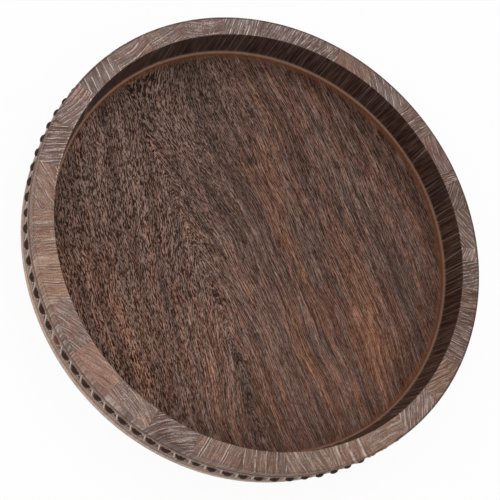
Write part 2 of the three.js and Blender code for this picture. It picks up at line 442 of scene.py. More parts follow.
class Wires:
    """Short ways to add nodes to one node tree and to join them."""

    def __init__(self, tree):
        self.tree = tree

    def feed(self, socket, value):
        if isinstance(value, bpy.types.NodeSocket):
            self.tree.links.new(value, socket)
        elif socket.type == "RGBA":
            socket.default_value = opaque(value)
        else:
            socket.default_value = value

    def add_node(self, kind, values, **settings):
        node = self.tree.nodes.new(kind)
        for name, setting in settings.items():
            setattr(node, name, setting)
        for key, value in values.items():
            self.feed(node.inputs[key], value)
        return node

    def math(self, operation, *values):
        return self.add_node("ShaderNodeMath", dict(enumerate(values)), operation=operation).outputs[0]

    def add(self, first, second):
        return self.math("ADD", first, second)

    def sub(self, first, second):
        return self.math("SUBTRACT", first, second)

    def mul(self, first, second):
        return self.math("MULTIPLY", first, second)

    def div(self, first, second):
        return self.math("DIVIDE", first, second)

    def mul_add(self, first, second, third):
        return self.math("MULTIPLY_ADD", first, second, third)

    def hypot(self, first, second):
        return self.math("SQRT", self.mul_add(first, first, self.mul(second, second)))

    def bell(self, first, second=0.0):
        """1 where both values are 0, fading to 0 all round."""
        return self.math("EXPONENT", self.mul(self.mul_add(first, first, self.mul(second, second)), -1.0))

    def sway(self, value, noise, reach):
        """The value, moved to either side as the noise says."""
        return self.mul_add(self.sub(noise, 0.5), reach, value)

    def step(self, value, low, high, start=0.0, end=1.0):
        """Smooth step of value from start at low to end at high; low may be the larger one."""
        values = dict(enumerate((value, low, high, start, end)))
        return self.add_node("ShaderNodeMapRange", values, interpolation_type="SMOOTHSTEP").outputs[0]

    def mix(self, share, first, second):
        node = self.add_node("ShaderNodeMix", {}, data_type="RGBA")
        for key, value in ((0, share), (6, first), (7, second)):
            self.feed(node.inputs[key], value)
        return node.outputs[2]

    def brighten(self, colour, factor):
        return self.add_node("ShaderNodeHueSaturation", {"Color": colour, "Value": factor}).outputs[0]

    def vector(self, x, y, z=0.0):
        return self.add_node("ShaderNodeCombineXYZ", {0: x, 1: y, 2: z}).outputs[0]

    def stretch(self, place, scales):
        """The three parts of a place, each times its own scale."""
        return self.vector(*(self.mul(part, scale) for part, scale in zip(place, scales)))

    def split(self, value):
        return self.add_node("ShaderNodeSeparateXYZ", {0: value}).outputs

    def noise(self, place, scale=1.0, detail=2.0, roughness=0.5):
        values = {"Vector": place, "Scale": scale, "Detail": detail, "Roughness": roughness}
        return self.add_node("ShaderNodeTexNoise", values).outputs[0]

    def cells(self, place, scale=1.0):
        """Distance to the nearest of many scattered points."""
        return self.add_node("ShaderNodeTexVoronoi", {"Vector": place, "Scale": scale}).outputs["Distance"]


NUMBER = "NodeSocketFloat"
COLOUR = "NodeSocketColor"
PLACE = "NodeSocketVector"
WOOD_OUTPUTS = {"Colour": COLOUR, "Roughness": NUMBER, "Relief": NUMBER}


def wood_group(name, inputs):
    """A shader node group for one wood: its wires, the sockets it is given and those it fills."""
    group = bpy.data.node_groups.new(name, "ShaderNodeTree")
    for label, kind in inputs.items():
        group.interface.new_socket(label, in_out="INPUT", socket_type=kind)
    for label, kind in WOOD_OUTPUTS.items():
        group.interface.new_socket(label, in_out="OUTPUT", socket_type=kind)
    start = group.nodes.new("NodeGroupInput")
    end = group.nodes.new("NodeGroupOutput")
    return group, Wires(group), start.outputs, end.inputs


BLOCK_INPUTS = {
    "Place": PLACE,
    "Pith X": NUMBER,
    "Pith Y": NUMBER,
    "Pith Distance": NUMBER,
    "Ring Gap": NUMBER,
    "Ring Shift": NUMBER,
    "Ring Width": NUMBER,
    "Lime": NUMBER,
    "Twin Rings": NUMBER,
    "Fine Rings": NUMBER,
    "Pores": NUMBER,
    "Tone": NUMBER,
    "Main Colour": COLOUR,
    "Second Colour": COLOUR,
}


# A point of the end grain. depth is below the rim's top. upright has its height pressed together,
# so that what is scattered on it runs up the block as the grain does.
Spot = namedtuple("Spot", "place x y z radius depth upright")


def growth_rings(w, given, spot):
    """A worn limed line at each ring, dark late wood on its inner side, and fine lines between them."""
    wavers = {50.0: 4.0 * MM, 420.0: 0.9 * MM}  # scale of the noise, and how far it moves a ring
    twin_spacing = 2.4 * MM
    from_pith = w.hypot(w.sub(spot.x, given["Pith X"]), w.sub(spot.y, given["Pith Y"]))
    from_pith = w.sub(from_pith, given["Pith Distance"])
    for scale, reach in wavers.items():
        from_pith = w.sway(from_pith, w.noise(spot.upright, scale), reach)
    count = w.add(w.div(from_pith, given["Ring Gap"]), given["Ring Shift"])

    def limed_line(ring_count):
        off_line = w.mul(w.math("PINGPONG", ring_count, 0.5), given["Ring Gap"])
        return w.step(off_line, w.mul(given["Ring Width"], 0.15), w.mul(given["Ring Width"], 0.6), 1.0, 0.0)

    twin = limed_line(w.add(count, w.div(twin_spacing, given["Ring Gap"])))
    line = w.math("MAXIMUM", limed_line(count), w.mul(twin, given["Twin Rings"]))
    worn = w.step(w.noise(spot.upright, 150.0, 3.0, 0.6), 0.36, 0.60, 0.1, 1.0)
    late = w.step(w.math("FRACT", count), 0.6, 0.97)
    fine = w.noise(w.stretch((from_pith, spot.x, spot.y), (760.0, 60.0, 60.0)), 1.0, 2.0, 0.6)
    pale_fine = w.mul(w.step(fine, 0.52, 0.66), given["Fine Rings"])
    dark_fine = w.mul(w.step(fine, 0.50, 0.38), w.math("MAXIMUM", given["Fine Rings"], 0.55))
    return w.mul(line, worn), late, pale_fine, dark_fine


def end_grain_pores(w, given, spot):
    """Limed dots, dark specks and open holes, each as a share from 0 to 1."""
    dotted = w.step(w.noise(spot.upright, 60.0), 0.35, 0.6)
    dots = w.mul(w.step(w.cells(spot.upright, 600.0), 0.16, 0.36, 1.0, 0.0), dotted)
    dots = w.mul(dots, w.math("MAXIMUM", given["Pores"], 0.25))
    specks = w.step(w.noise(spot.upright, 950.0, 2.0, 0.7), 0.42, 0.62)
    holes = w.step(w.cells(spot.upright, 950.0), 0.12, 0.36, 1.0, 0.0)
    holes = w.mul(holes, w.step(w.noise(spot.upright, 75.0), 0.42, 0.60))
    holes = w.mul(holes, w.mul_add(given["Pores"], 0.5, 0.35))
    return dots, specks, holes


def outer_wall(w, spot, top, dark_fine):
    """Outside of the wall: end grain with painted shade under the edge above the beads, bare and chalky
    below. Depths are below the top.
    """
    size, shade = sizes(), colours()
    groove_foot = size.bead_below_top + size.groove_height / 2
    band_depth = 38.5 * MM
    depth = spot.depth
    chalky = w.noise(w.stretch((spot.x, spot.y, spot.z), (300.0, 300.0, 500.0)), 1.0, 3.0, 0.6)

    def level_line(middle, core, reach, share):
        return w.step(w.math("ABSOLUTE", w.sub(depth, middle)), core, reach, share, 0.0)

    # Painted shade: the end grain is darkened from the top edge down to 5 mm, fading out by 11 mm, where the
    # wall faces away from the light above
    shaded_under_edge = w.brighten(top, w.step(depth, 5 * MM, 11 * MM, 0.74, 1.0))
    colour = w.mix(w.step(depth, 26 * MM, 31 * MM, 0.0, 0.65), shaded_under_edge, shade.wall)
    colour = w.mix(w.mul(dark_fine, 0.35), colour, shade.late)
    powder = w.mul(w.step(depth, 8 * MM, 13 * MM, 0.0, 0.10), w.step(chalky, 0.40, 0.62))
    powder = w.mul(powder, w.step(depth, 17 * MM, 20 * MM, 1.0, 0.0))
    colour = w.mix(powder, colour, shade.lime)
    under_groove = level_line(groove_foot + 0.5 * MM, 0.3 * MM, 1.6 * MM, 0.22)
    colour = w.mix(under_groove, colour, shade.lime)
    band = level_line(band_depth, 0.4 * MM, 2.2 * MM, 0.75)
    colour = w.mix(w.mul(band, w.step(chalky, 0.35, 0.55)), colour, shade.wall_line)
    foot = w.mul(w.step(depth, 38 * MM, 45 * MM, 0.0, 0.62), w.step(chalky, 0.30, 0.60))
    return w.mix(foot, colour, shade.lime)


def worn_edge(w, spot):
    """Where the dark line along the outer edge of the top lies."""
    wall_top, _, _, _ = rim_radii()
    off_edge = w.math("ABSOLUTE", w.sub(spot.radius, wall_top - 0.5 * MM))
    share = w.mul(w.step(off_edge, 0.2 * MM, 1.1 * MM, 1.0, 0.0), w.step(spot.depth, 3.0 * MM, 1.8 * MM))
    share = w.mul(share, w.step(w.noise(spot.upright, 90.0), 0.25, 0.6, 0.4, 0.95))
    return w.mul(share, w.step(spot.y, -0.20, -0.02, 0.35, 1.0))


def wax_spots(w, spot):
    """Where white wax is left along the inner edge, at the left of the front."""
    _, well_top, _, _ = rim_radii()
    share = w.step(w.noise(spot.place, 800.0, 2.0, 0.6), 0.50, 0.60)
    share = w.mul(share, w.step(w.noise(spot.place, 120.0), 0.40, 0.58))
    share = w.mul(share, w.step(spot.radius, well_top + 2.6 * MM, well_top + 1.0 * MM))
    return w.mul(share, w.mul(w.step(spot.x, -0.150, -0.175), w.step(spot.y, -0.03, -0.06)))


def bare_ledge(w, spot):
    """The unstained ledge, redder along both its edges, with painted shade that darkens it on the right. It
    lies further in on the left.
    """
    shade = colours()
    _, well_top, _, _ = rim_radii()
    warm = w.step(w.noise(spot.upright, 160.0), 0.35, 0.65, 0.0, 0.35)
    colour = w.mix(warm, shade.ledge, shade.floor_warm)
    inward = w.add(spot.radius, w.step(spot.x, -0.12, 0.08, 0.9 * MM, -0.3 * MM))
    inner_edge = w.step(inward, well_top - 2.6 * MM, well_top - 3.6 * MM, 0.0, 0.7)
    outer_edge = w.step(inward, well_top + 0.2 * MM, well_top + 0.8 * MM, 0.0, 0.6)
    colour = w.mix(inner_edge, colour, shade.floor_red)
    colour = w.mix(outer_edge, colour, shade.floor_red)
    # Painted shade: the ledge is darkened towards the right
    return w.brighten(colour, w.step(spot.x, 0.12, 0.19, 1.0, 0.86))


def stained_well(w, given, spot, line):
    """Inside of the wall, dark with stain and upright streaks, and the bare ledge at its foot."""
    shade = colours()
    foot = ledge_top_height()
    streak = w.noise(w.stretch((spot.x, spot.y, spot.z), (560.0, 560.0, 22.0)), 1.0, 3.0, 0.6)
    at_foot = w.step(spot.z, foot, foot + 7 * MM, 0.9, 0.0)
    warm = w.math("MAXIMUM", at_foot, w.step(spot.x, 0.08, 0.18, 0.0, 0.7))
    colour = w.mix(warm, shade.stain, shade.stain_warm)
    colour = w.mix(0.10, colour, given["Main Colour"])
    colour = w.mix(w.step(streak, 0.50, 0.66, 0.0, 0.80), colour, shade.stain_pale)
    colour = w.mix(w.step(streak, 0.49, 0.39, 0.0, 0.90), colour, shade.pore)
    colour = w.mix(w.mul(line, 0.14), colour, shade.lime)
    return w.mix(w.step(spot.z, foot + 2.0 * MM, foot + 1.0 * MM), colour, bare_ledge(w, spot))


def limed_end_grain_group():
    """Growth rings round an upright pith, limed and worn, with the tray's zones of stain and paint, and
    painted shade on the outer wall and the ledge.
    """
    size, shade = sizes(), colours()
    wall_top, well_top, _, _ = rim_radii()
    group, w, given, result = wood_group("Limed end grain", BLOCK_INPUTS)
    place = given["Place"]
    x, y, z = w.split(place)
    upright = w.vector(x, y, w.mul(z, 0.06))
    spot = Spot(place, x, y, z, w.hypot(x, y), w.sub(size.height, z), upright)
    line, late, pale_fine, dark_fine = growth_rings(w, given, spot)
    dots, specks, holes = end_grain_pores(w, given, spot)

    mottle = w.step(w.noise(spot.upright, 42.0, 3.0, 0.55), 0.36, 0.66)
    haze = w.step(w.noise(spot.upright, 30.0), 0.40, 0.68)
    wood = w.mix(mottle, given["Main Colour"], given["Second Colour"])
    wood = w.mix(w.mul(late, 0.42), wood, shade.late)
    wood = w.mix(w.mul(haze, w.mul(given["Lime"], 0.16)), wood, shade.lime)
    wood = w.mix(w.mul(dark_fine, 0.85), wood, shade.late)
    wood = w.mix(w.mul(pale_fine, 0.70), wood, shade.lime)
    wood = w.mix(w.mul(specks, 0.50), wood, shade.late)
    wood = w.mix(holes, wood, shade.pore)
    wood = w.brighten(wood, given["Tone"])
    wood = w.mix(w.mul(dots, 0.75), wood, shade.lime)
    top = w.mix(w.mul(line, given["Lime"]), wood, shade.lime)

    outside = w.step(spot.radius, wall_top + 0.2 * MM, wall_top + 0.9 * MM)
    inside = w.step(spot.radius, well_top - 0.1 * MM, well_top + 0.7 * MM, 1.0, 0.0)
    colour = w.mix(outside, top, outer_wall(w, spot, top, dark_fine))
    colour = w.mix(worn_edge(w, spot), colour, shade.edge)
    colour = w.mix(w.mul(wax_spots(w, spot), 0.8), colour, shade.lime)
    colour = w.mix(inside, colour, stained_well(w, given, spot, line))

    relief = w.mul_add(line, -0.5, w.mul(dark_fine, -0.5))
    relief = w.mul_add(specks, -0.3, relief)
    relief = w.mul_add(dots, -0.4, relief)
    w.feed(result["Colour"], colour)
    w.feed(result["Roughness"], w.step(line, 0.0, 1.0, 0.55, 0.8))
    w.feed(result["Relief"], relief)
    return group


def wood_material(name, group, values, bump, gloss):
    """A material that shows one wood group on object coordinates."""
    material = bpy.data.materials.new(name)
    material.use_nodes = True
    w = Wires(material.node_tree)
    place = w.add_node("ShaderNodeTexCoord", {}).outputs["Object"]
    grain = w.add_node("ShaderNodeGroup", {}, node_tree=group)
    for label, value in {"Place": place, **values}.items():
        w.feed(grain.inputs[label], value)
    heights = {"Strength": bump, "Distance": 0.5 * MM, "Height": grain.outputs["Relief"]}
    relief = w.add_node("ShaderNodeBump", heights)
    shader = w.tree.nodes["Principled BSDF"]
    w.feed(shader.inputs["Specular IOR Level"], gloss)
    w.feed(shader.inputs["Normal"], relief.outputs["Normal"])
    w.feed(shader.inputs["Base Color"], grain.outputs["Colour"])
    w.feed(shader.inputs["Roughness"], grain.outputs["Roughness"])
    return material


def end_grain_material(name, group, block, middle_angle):
    """The end grain of one block, whose rings curve round a pith beside or beyond it."""
    shade = colours()
    wall_top, _, _, _ = rim_radii()
    middle_radius = wall_top - sizes().rim_width / 2
    outward = Vector((math.cos(middle_angle), math.sin(middle_angle)))
    along = Vector((-outward.y, outward.x))
    lean = math.radians(block.lean)
    across = along * math.cos(lean) - outward * math.sin(lean)
    pith = outward * middle_radius + across * block.bow * MM
    values = {
        "Pith X": pith.x,
        "Pith Y": pith.y,
        "Pith Distance": abs(block.bow) * MM,
        "Ring Gap": block.gap * MM,
        "Ring Shift": block.shift,
        "Ring Width": block.width * MM,
        "Lime": block.lime,
        "Twin Rings": block.twin,
        "Fine Rings": block.fine,
        "Pores": block.pores,
        "Tone": block.tone,
        "Main Colour": getattr(shade, block.main),
        "Second Colour": getattr(shade, block.second),
    }
    return wood_material(name, group, values, bump=0.35, gloss=0.25)


class BoardFigure:
    """The floor board's figure: a long pointed arch, whose lines all streaks and pores follow.

    The arch's axis slopes down to the right, and its point lies near the left edge. Beyond that
    edge the lines hook round a knot. The two halves are different layers, with a frayed edge.
    """

    slope = math.radians(-20.5)
    axis_offset = -73 * MM
    axis_bend = 0.14
    axis_waver = 22 * MM
    reach_in_front = 138 * MM
    reach_behind = 88 * MM
    point_along = -155 * MM
    point_round = 3 * MM
    spread = 74 * MM
    spread_length = 280 * MM
    knot_along = -233 * MM
    knot_off = 45 * MM
    knot_size = (46 * MM, 44 * MM)
    knot_pull = -44 * MM
    fray = 120 * MM

    def __init__(self, w, x, y):
        self.w = w
        along = w.mul_add(x, math.cos(self.slope), w.mul(y, math.sin(self.slope)))
        off_axis = w.mul_add(x, -math.sin(self.slope), w.mul(y, math.cos(self.slope)))
        off_axis = w.sub(w.mul_add(w.mul(along, along), self.axis_bend, off_axis), self.axis_offset)
        off_axis = w.sway(off_axis, w.noise(w.vector(along, off_axis), 9.0, 1.0), self.axis_waver)

        # The lines open out from the point
        reach = w.step(off_axis, -5 * MM, 5 * MM, self.reach_in_front, self.reach_behind)
        open_up = w.math("TANH", w.div(w.sub(along, self.point_along), self.spread_length))
        opening = w.mul(w.mul(open_up, w.bell(w.div(off_axis, reach))), self.spread)
        across = w.sub(w.hypot(off_axis, self.point_round), opening)

        # The knot draws them in
        long, wide = self.knot_size
        from_knot = (w.div(w.sub(along, self.knot_along), long), w.div(w.sub(off_axis, self.knot_off), wide))
        across = w.mul_add(w.bell(*from_knot), self.knot_pull, across)

        frays = w.sub(w.noise(w.vector(w.mul(along, 70.0), w.mul(off_axis, 600.0)), 1.0, 1.0), 0.5)
        side = w.mul_add(frays, w.step(along, -130 * MM, 20 * MM, 0.0, self.fray), off_axis)
        self.layer = w.mul(w.math("SIGN", side), 0.5)
        waves = w.vector(w.mul(along, 260.0), w.mul(across, 420.0), self.layer)
        self.wiggle = w.sub(w.noise(waves, 1.0, 1.0), 0.5)
        self.along, self.off_axis, self.across = along, off_axis, across

    def streaks(self, along_scale, across_scale, detail, seed, wiggles=0.0):
        """Noise drawn out along the lines; each seed gives other streaks."""
        w = self.w
        along = w.mul(self.along, along_scale)
        across = w.mul_add(w.mul_add(self.wiggle, wiggles, self.across), across_scale, seed)
        return w.noise(w.vector(along, across, w.add(self.layer, seed)), 1.0, detail, 0.6)

    def spot(self, patch):
        """1 at the middle of a patch, fading to 0 round it."""
        w = self.w
        middle_along = (patch.x * math.cos(self.slope) + patch.y * math.sin(self.slope)) * MM
        middle_off = (patch.y * math.cos(self.slope) - patch.x * math.sin(self.slope)) * MM
        long = w.div(w.sub(self.along, middle_along), patch.long * MM)
        wide = w.div(w.sub(self.off_axis, middle_off - self.axis_offset), patch.wide * MM)
        return w.bell(long, wide)


def floor_ground(w, figure, x):
    """Red and grey streaks, dark streaks, and warm and dark patches."""
    shade = colours()
    warmth = w.mul(w.sub(figure.streaks(6.0, 36.0, 3.0, 3.1), 0.5), 2.6)
    for patch in FLOOR_PATCHES:
        warmth = w.mul_add(figure.spot(patch), patch.amount, warmth)
    hue = w.add(figure.streaks(16.0, 210.0, 3.0, 7.7), w.mul(warmth, 0.10))
    redness = w.mul(w.step(hue, 0.44, 0.58), w.step(x, -0.19, -0.06, 0.55, 1.0))
    orange = w.mul(w.step(warmth, 0.0, 1.0), w.step(hue, 0.40, 0.58, 0.45, 1.0))
    dark_streaks = w.step(figure.streaks(20.0, 130.0, 3.0, 11.3), 0.50, 0.68, 0.0, 0.40)
    ground = w.mix(redness, shade.floor_grey, shade.floor_red)
    ground = w.mix(w.step(warmth, 0.0, -1.1, 0.0, 0.85), ground, shade.floor_dark)
    ground = w.mix(orange, ground, shade.floor_warm)
    return w.mix(dark_streaks, ground, shade.floor_dark)


def floor_light(w, figure, x, y):
    """Brightness of the board: broad grain bands, painted light that makes it lighter towards the right and
    the front, and patches of painted light and shade.
    """
    bands = figure.streaks(5.0, 85.0, 4.0, 31.7, 2.0 * MM)
    # Painted light: the board is lightened towards the right and the front, where the rendered shading falls
    # off
    painted_light_slope = w.mul_add(x, 0.7, w.mul(y, -0.5))
    light = w.mul(w.step(painted_light_slope, -0.15, 0.17, 1.07, 1.37), w.step(bands, 0.34, 0.66, 0.70, 1.30))
    # Painted light and shade in soft patches
    for patch in PAINTED_FLOOR_LIGHT:
        light = w.mul(light, w.mul_add(figure.spot(patch), patch.amount, 1.0))
    return light


def floor_grain_group():
    """Plain-sawn grain of the floor board, its pores and its plain underside."""
    shade = colours()
    group, w, given, result = wood_group("Brushed floor board", {"Place": PLACE})
    x, y, z = w.split(given["Place"])
    figure = BoardFigure(w, x, y)
    ground = floor_ground(w, figure, x)

    # Pores: short, wavy and crowded low on the left, long and fine elsewhere
    coarse = w.step(w.mul_add(x, -0.75, w.mul(y, -0.65)), -0.04, 0.15)
    worms = figure.streaks(240.0, 1320.0, 1.0, 15.9, 2.0 * MM)
    dark_worms = w.mul(w.step(worms, 0.48, 0.45), w.step(coarse, 0.0, 1.0, 0.45, 1.0))
    pale_worms = w.mul(w.step(worms, 0.54, 0.59), w.step(coarse, 0.0, 1.0, 0.25, 0.8))
    threads = figure.streaks(60.0, 1250.0, 2.0, 23.3, 0.8 * MM)
    quiet = w.step(x, 0.03, 0.17, 1.0, 0.6)
    dark_threads = w.mul(w.step(threads, 0.48, 0.44), quiet)
    pale_threads = w.mul(w.step(threads, 0.52, 0.58, 0.0, 0.8), quiet)
    lines = figure.streaks(14.0, 900.0, 2.0, 41.7, 0.6 * MM)
    fine_part = w.step(coarse, 0.0, 1.0, 1.0, 0.3)
    dark_lines = w.mul(w.step(lines, 0.49, 0.40, 0.0, 0.85), fine_part)
    pale_lines = w.mul(w.step(lines, 0.54, 0.64, 0.0, 0.55), fine_part)
    pale = w.mix(0.25, shade.floor_pale, w.brighten(ground, 1.6))
    ground = w.mix(w.math("MAXIMUM", pale_threads, pale_lines), ground, pale)
    ground = w.mix(dark_threads, ground, shade.pore)
    ground = w.mix(dark_lines, ground, shade.floor_dark)
    ground = w.mix(pale_worms, ground, pale)
    ground = w.mix(w.mul(dark_worms, 0.9), ground, shade.pore)
    ground = w.brighten(ground, floor_light(w, figure, x, y))

    # Bare warm border beside the ledge, most of it on the far side, and the plain underside
    _, _, _, field = rim_radii()
    border = w.step(w.hypot(x, y), field - 6 * MM, field - 2 * MM, 0.0, 0.6)
    border = w.mul(border, w.step(y, -0.10, 0.06, 0.25, 1.0))
    colour = w.mix(border, ground, shade.floor_warm)
    colour = w.mix(w.step(z, 1.0 * MM, 0.5 * MM, 0.0, 0.35), colour, shade.floor_dark)

    w.feed(result["Colour"], colour)
    w.feed(result["Roughness"], w.step(threads, 0.3, 0.7, 0.5, 0.66))
    w.feed(result["Relief"], w.mul_add(dark_worms, -1.0, w.mul(dark_threads, -0.5)))
    return group


BEAD_MARKS = ("lime", "rust", "crown", "open_wood")


def bead_pockets_and_shadows(w, x, y, z):
    """Where the dark three-cornered pockets between the beads lie, bare wood with painted shadow, and what is
    above them.
    """
    foot = bead_row_height() - 6.6 * MM
    tip = bead_row_height() + 3.4 * MM
    middle = 0.45  # from the bead before it, as a share of the pitch
    foot_reach = 0.21  # to either side of the middle, as a share of the pitch
    turned = w.div(w.sub(w.math("ARCTAN2", y, x), sizes().bead_start), BEAD_PITCH)
    off_middle = w.math("ABSOLUTE", w.sub(w.math("FRACT", turned), middle))
    pocket_and_shadow = w.step(w.sub(off_middle, w.step(z, foot, tip, foot_reach, 0.0)), 0.01, -0.03)
    return w.mul(pocket_and_shadow, w.step(z, foot, foot + 1 * MM)), w.step(z, tip - 1 * MM, tip + 1.5 * MM)


def beading_material():
    """Near-black beads with lime left round them. The marks on the mesh say where each colour lies."""
    shade = colours()
    material = bpy.data.materials.new("Limed beading")
    material.use_nodes = True
    w = Wires(material.node_tree)
    place = w.add_node("ShaderNodeTexCoord", {}).outputs["Object"]
    lime, rust, crown, open_wood = (
        w.add_node("ShaderNodeAttribute", {}, attribute_name=label).outputs["Fac"] for label in BEAD_MARKS
    )
    pocket_and_shadow, above = bead_pockets_and_shadows(w, *w.split(place))
    above = w.mul(above, open_wood)
    patchy = w.noise(place, 520.0, 3.0, 0.6)
    limed = w.step(w.sway(lime, patchy, 0.9), 0.25, 0.75)
    limed = w.mul(limed, w.mul_add(w.mul(pocket_and_shadow, open_wood), -1.0, 1.0))
    limed = w.mul(limed, w.mul_add(above, -0.7, 1.0))
    # Painted shadow: where the lime is left out, the pockets between the beads take the dark pocket colour
    bare = w.mix(crown, w.mix(above, shade.pocket_and_shadow, shade.brown), shade.bead)
    bare = w.mix(rust, bare, shade.bead_red)
    bare = w.mix(w.step(w.noise(place, 1400.0), 0.5, 0.8, 0.0, 0.3), bare, shade.floor_grey)
    relief = w.add_node("ShaderNodeBump", {"Strength": 0.3, "Distance": 0.3 * MM, "Height": patchy})
    shader = w.tree.nodes["Principled BSDF"]
    w.feed(shader.inputs["Specular IOR Level"], 0.14)
    w.feed(shader.inputs["Normal"], relief.outputs["Normal"])
    w.feed(shader.inputs["Base Color"], w.mix(w.mul(limed, 0.9), bare, w.mix(0.3, shade.lime, shade.tan)))
    w.feed(shader.inputs["Roughness"], w.step(limed, 0.0, 1.0, 0.46, 0.8))
    return material


# Pieces


def block_section():
    """Flat section of a rim block, cut out of a rectangle, with its edges rounded."""
    size = sizes()
    wall_top, well_top, well_foot, ledge_radius = rim_radii()
    ledge_top = ledge_top_height()
    groove_low = bead_row_height() - size.groove_height / 2
    groove_high = bead_row_height() + size.groove_height / 2
    groove_radius = size.wall_radius - size.groove_depth
    groove_round = 0.5 * MM
    piece = flat_section((ledge_radius, 0), (size.wall_radius, size.height))
    edit(piece)
    for level in (size.tongue, size.floor_thickness, ledge_top, groove_low, groove_high):
        cut((0, 0, level), (0, 0, 1))
    for radius in (size.floor_radius, groove_radius):
        cut((radius, 0, 0), (1, 0, 0))
    cut((well_foot, 0, ledge_top), (size.height - ledge_top, 0, well_foot - well_top))
    cut((well_foot, 0, ledge_top), (size.ledge_height, 0, -size.ledge_width))
    cut((size.wall_radius, 0, groove_high), (size.height - groove_high, 0, size.wall_taper))

    def well_radius_at(z):
        return well_foot + (well_top - well_foot) * (z - ledge_top) / (size.height - ledge_top)

    def ledge_height_at(r):
        return size.floor_thickness + size.ledge_height * (r - ledge_radius) / size.ledge_width

    def wall_radius_at(z):
        return size.wall_radius - size.wall_taper * (z - groove_high) / (size.height - groove_high)

    drop_cells(lambda r, z: z < size.tongue and r < size.floor_radius)
    drop_cells(lambda r, z: z > ledge_top and r < well_radius_at(z))
    drop_cells(lambda r, z: size.floor_thickness < z < ledge_top and z > ledge_height_at(r))
    drop_cells(lambda r, z: groove_low < z < groove_high and r > groove_radius)
    drop_cells(lambda r, z: z > groove_high and r > wall_radius_at(z))
    bpy.ops.mesh.select_all(action="SELECT")
    bpy.ops.mesh.dissolve_limited(angle_limit=math.radians(0.5))
    round_corner((wall_top, size.height), size.edge_round)
    round_corner((well_top, size.height), size.well_round)
    round_corner((size.wall_radius, 0), size.foot_round)
    round_corner((size.wall_radius, groove_high), groove_round)
    round_corner((size.wall_radius, groove_low), groove_round)
    done()
    return piece


def rim_solid(section, name, angle):
    """One rim piece, from azimuth 0, with softened edges along its two joints."""
    size = sizes()
    gap = size.joint_gap / size.wall_radius
    piece = turned_copy(section, name, gap / 2)
    edit(piece)
    sweep(RIM_STEP, angle - gap)
    same_angle = 1e-5
    shortest = 0.1 * MM

    def on_joint(edge):
        ends = [math.atan2(v.co.y, v.co.x) for v in edge.verts]
        at_start = all(near(end, gap / 2, same_angle) for end in ends)
        at_end = all(near(end, angle - gap / 2, same_angle) for end in ends)
        return (at_start or at_end) and edge.calc_length() > shortest

    choose("edges", on_joint)
    bpy.ops.mesh.bevel(offset=size.joint_break, segments=1, affect="EDGES", clamp_overlap=True)
    done()
    smooth(piece)
    return piece


def two_digits(index):
    """The number of a block or strip, from 01, as its CAD node has it."""
    return f"{index + 1:02d}"


class TRAY_OT_rim_blocks(bpy.types.Operator):
    """Make the ring of end-grain blocks and the two narrow make-up pieces"""

    bl_idname = "tray.rim_blocks"
    bl_label = "Rim blocks"

    def execute(self, context):
        size = sizes()
        group = limed_end_grain_group()
        section = block_section()
        pitch = 2 * math.pi / len(BLOCKS)
        whole = rim_solid(section, "whole_block", pitch)
        short = rim_solid(section, "short_block", pitch - size.filler)
        filler = rim_solid(section, "filler", size.filler)
        for k, block in enumerate(BLOCKS):
            start = size.joint_start + k * pitch
            number = two_digits(k)
            filled = k in FILLERS
            span = pitch - size.filler if filled else pitch
            piece = turned_copy(short if filled else whole, f"end_grain_block_{number}", start)
            material = end_grain_material(f"End grain {number}", group, block, start + span / 2)
            seat(piece, material, "rim_wood", f"rim_block_{number}")
            if filled:
                piece = turned_copy(filler, f"make_up_piece_{number}", start + span)
                middle = start + span + size.filler / 2
                material = end_grain_material(f"Make-up end grain {number}", group, FILLERS[k], middle)
                seat(piece, material, "filler_wood", f"rim_filler_{number}")
        for spare in (section, whole, short, filler):
            remove(spare)
        return {"FINISHED"}


class TRAY_OT_floor_board(bpy.types.Operator):
    """Make the floor board with its stepped edge"""

    bl_idname = "tray.floor_board"
    bl_label = "Floor board"

    def execute(self, context):
        size = sizes()
        _, _, _, ledge_radius = rim_radii()
        field = ledge_radius - size.joint_gap
        edge = size.floor_radius - size.joint_gap
        tongue = size.tongue - size.joint_gap
        top_bevel = 0.25 * MM
        foot_bevel = 0.5 * MM
        upright = 0.9
        clear_selection()
        bpy.ops.mesh.primitive_cylinder_add(
            vertices=BOARD_SIDES, radius=edge, depth=tongue, location=(0, 0, tongue / 2)
        )
        piece = context.active_object
        piece.name = "floor_board"
        bpy.ops.object.transform_apply(location=True)
        edit(piece)
        choose("faces", lambda face: face.normal.z > upright)
        bpy.ops.mesh.inset(thickness=edge - field)
        rise = size.floor_thickness - tongue
        bpy.ops.mesh.extrude_region_move(TRANSFORM_OT_translate={"value": (0, 0, rise)})
        bpy.ops.mesh.bevel(offset=top_bevel, segments=2, affect="EDGES")
        choose("faces", lambda face: face.normal.z < -upright)
        bpy.ops.mesh.bevel(offset=foot_bevel, segments=2, affect="EDGES")
        done()
        smooth(piece)
        material = wood_material("Floor board", floor_grain_group(), {}, bump=0.6, gloss=0.12)
        seat(piece, material, "floor_wood", "floor_panel")
        return {"FINISHED"}


def mark(piece, lime, rust=0.0, crown=0.0, open_wood=0.0):
    """Stores amounts of lime, rust, dark crown and open wood; lime may be a function of a point."""
    for label, amount in zip(BEAD_MARKS, (lime, rust, crown, open_wood)):
        layer = piece.data.attributes.new(label, "FLOAT", "POINT")
        for vertex, item in zip(piece.data.vertices, layer.data):
            item.value = amount(vertex.co) if callable(amount) else amount


def strip_radii():
    """Radii of the back and of the face of the strip that carries the beads."""
    size = sizes()
    back = size.wall_radius - size.groove_depth + size.joint_gap
    return back, back + size.backing


def cut_off_back(radius):
    """Cuts off what lies nearer to the axis than a radius, and closes the cut."""
    bpy.ops.mesh.select_all(action="SELECT")
    bpy.ops.mesh.bisect(plane_co=(radius, 0, 0), plane_no=(1, 0, 0), use_fill=True, clear_inner=True)


